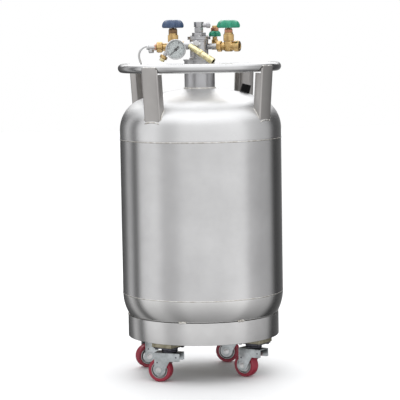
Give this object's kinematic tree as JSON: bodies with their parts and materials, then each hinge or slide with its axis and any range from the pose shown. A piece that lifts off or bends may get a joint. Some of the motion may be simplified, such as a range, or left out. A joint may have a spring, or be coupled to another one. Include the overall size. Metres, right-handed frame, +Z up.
{
  "type": "liquid nitrogen dewar",
  "caption": "Stainless double-walled liquid nitrogen vessel on swivel casters, with a handle ring, a valve head, a pressure gauge and handwheel valves.",
  "frame": {"origin": "on the vessel's axis at floor level", "axes": "+Z up, -Y the front that the gauge faces, +X the side of the liquid outlet"},
  "size_m": [0.511, 0.511, 1.1146],
  "materials": {
    "adsorbent": "granular",
    "black_plastic": "matte",
    "brass": "machined",
    "bright_steel": "polished",
    "copper": "drawn copper",
    "dial_enamel": "satin",
    "foil": "crinkled foil",
    "green_paint": "semi gloss",
    "lens": "clear",
    "navy_paint": "semi gloss",
    "needle_paint": "matte",
    "red_tread": "satin polyurethane",
    "stainless": "satin brushed",
    "zinc_steel": "bright zinc plate"
  },
  "bodies": {
    "vessel": {"outer_shell": "stainless", "top_dome": "stainless", "bottom_head": "stainless", "base_skirt": "stainless", "caster_frame": "zinc_steel", "inner_vessel": "stainless", "inner_neck_tube": "stainless", "insulation_blanket": "foil", "adsorbent_canister": "adsorbent", "pressure_coil": "copper", "dip_tube": "stainless", "handle_ring": "stainless", "ring_leg_1": "stainless", "ring_leg_2": "stainless", "ring_leg_3": "stainless", "ring_leg_4": "stainless", "neck_collar": "stainless", "head_body": "stainless", "head_flange": "stainless", "evac_port": "stainless", "gauge_case": "bright_steel", "gauge_dial": "dial_enamel", "gauge_lens": "lens", "gauge_manifold": "bright_steel", "burst_plug": "brass", "relief_body": "brass", "pressure_valve_body": "brass", "pressure_valve_bonnet": "brass", "liquid_valve_body": "brass", "liquid_valve_bonnet": "brass", "vent_valve_body": "brass", "pressure_tube": "bright_steel", "caster_plate_1": "zinc_steel", "caster_plate_2": "zinc_steel", "caster_plate_3": "zinc_steel", "caster_plate_4": "zinc_steel"},
    "fill_plug": {"fill_plug": "stainless"},
    "evac_cap": {"evac_cap": "black_plastic"},
    "gauge_needle": {"gauge_needle": "needle_paint"},
    "relief_poppet": {"relief_poppet": "brass"},
    "pressure_valve_seat": {"pressure_valve_poppet": "brass"},
    "pressure_valve_wheel": {"pressure_valve_stem": "brass", "pressure_valve_handwheel": "navy_paint"},
    "liquid_valve_seat": {"liquid_valve_poppet": "brass"},
    "liquid_valve_wheel": {"liquid_valve_stem": "brass", "liquid_valve_handwheel": "green_paint"},
    "vent_valve_wheel": {"vent_valve_stem": "brass", "vent_valve_handwheel": "green_paint"},
    "caster_swivel_1": {"caster_fork_1": "zinc_steel"},
    "caster_wheel_1": {"caster_hub_1": "bright_steel", "caster_tyre_1": "red_tread"},
    "caster_swivel_2": {"caster_fork_2": "zinc_steel"},
    "caster_wheel_2": {"caster_hub_2": "bright_steel", "caster_tyre_2": "red_tread"},
    "caster_swivel_3": {"caster_fork_3": "zinc_steel"},
    "caster_wheel_3": {"caster_hub_3": "bright_steel", "caster_tyre_3": "red_tread"},
    "caster_swivel_4": {"caster_fork_4": "zinc_steel"},
    "caster_wheel_4": {"caster_hub_4": "bright_steel", "caster_tyre_4": "red_tread"}
  },
  "joints": [
    {"name": "fill_plug_lift", "type": "slide", "parent": "vessel", "child": "fill_plug", "axis": [0, 0, 1], "range_m": [0, 0.06]},
    {"name": "evac_cap_pull", "type": "slide", "parent": "vessel", "child": "evac_cap", "axis": [0.2593, 0, 0.9658], "range_m": [0, 0.04]},
    {"name": "gauge_needle_turn", "type": "hinge", "parent": "vessel", "child": "gauge_needle", "pos_m": [-0.072, -0.0835, 1.023], "axis": [0, 1, 0], "range_deg": [0, 270], "stiffness_Nm_per_rad": 0.002},
    {"name": "relief_poppet_lift", "type": "slide", "parent": "vessel", "child": "relief_poppet", "axis": [0.7574, -0.4067, -0.5108], "range_m": [0, 0.003], "stiffness_N_per_m": 2000, "springref_m": -0.004},
    {"name": "pressure_valve_rise", "type": "slide", "parent": "vessel", "child": "pressure_valve_seat", "axis": [0, 0, 1], "range_m": [0, 0.006]},
    {"name": "pressure_valve_turn", "type": "hinge", "parent": "pressure_valve_seat", "child": "pressure_valve_wheel", "pos_m": [-0.081, 0, 1.03], "axis": [0, 0, 1], "range_deg": [0, 1080]},
    {"name": "liquid_valve_rise", "type": "slide", "parent": "vessel", "child": "liquid_valve_seat", "axis": [0, 0, 1], "range_m": [0, 0.006]},
    {"name": "liquid_valve_turn", "type": "hinge", "parent": "liquid_valve_seat", "child": "liquid_valve_wheel", "pos_m": [0.09209, -0.03352, 1.03], "axis": [0, 0, 1], "range_deg": [0, 1080]},
    {"name": "vent_valve_turn", "type": "hinge", "parent": "vessel", "child": "vent_valve_wheel", "pos_m": [0.05001, 0.04503, 1.03], "axis": [0, 0, 1], "range_deg": [0, 720]},
    {"name": "caster_swivel_1", "type": "hinge", "parent": "vessel", "child": "caster_swivel_1", "pos_m": [-0.10648, -0.15494, 0.09], "axis": [0, 0, 1], "continuous": true},
    {"name": "caster_roll_1", "type": "hinge", "parent": "caster_swivel_1", "child": "caster_wheel_1", "pos_m": [-0.13467, -0.14467, 0.0375], "axis": [-0.342, -0.9397, 0], "continuous": true},
    {"name": "caster_swivel_2", "type": "hinge", "parent": "vessel", "child": "caster_swivel_2", "pos_m": [0.15494, -0.10648, 0.09], "axis": [0, 0, 1], "continuous": true},
    {"name": "caster_roll_2", "type": "hinge", "parent": "caster_swivel_2", "child": "caster_wheel_2", "pos_m": [0.13129, -0.08801, 0.0375], "axis": [-0.6157, -0.788, 0], "continuous": true},
    {"name": "caster_swivel_3", "type": "hinge", "parent": "vessel", "child": "caster_swivel_3", "pos_m": [0.10648, 0.15494, 0.09], "axis": [0, 0, 1], "continuous": true},
    {"name": "caster_roll_3", "type": "hinge", "parent": "caster_swivel_3", "child": "caster_wheel_3", "pos_m": [0.07738, 0.16219, 0.0375], "axis": [-0.2419, -0.9703, 0], "continuous": true},
    {"name": "caster_swivel_4", "type": "hinge", "parent": "vessel", "child": "caster_swivel_4", "pos_m": [-0.15494, 0.10648, 0.09], "axis": [0, 0, 1], "continuous": true},
    {"name": "caster_roll_4", "type": "hinge", "parent": "caster_swivel_4", "child": "caster_wheel_4", "pos_m": [-0.18313, 0.09622, 0.0375], "axis": [0.342, -0.9397, 0], "continuous": true}
  ],
  "couplings": [
    {"joint": "pressure_valve_rise", "follows": "pressure_valve_turn", "m_per_rad": 0.00031831},
    {"joint": "liquid_valve_rise", "follows": "liquid_valve_turn", "m_per_rad": 0.00031831}
  ]
}
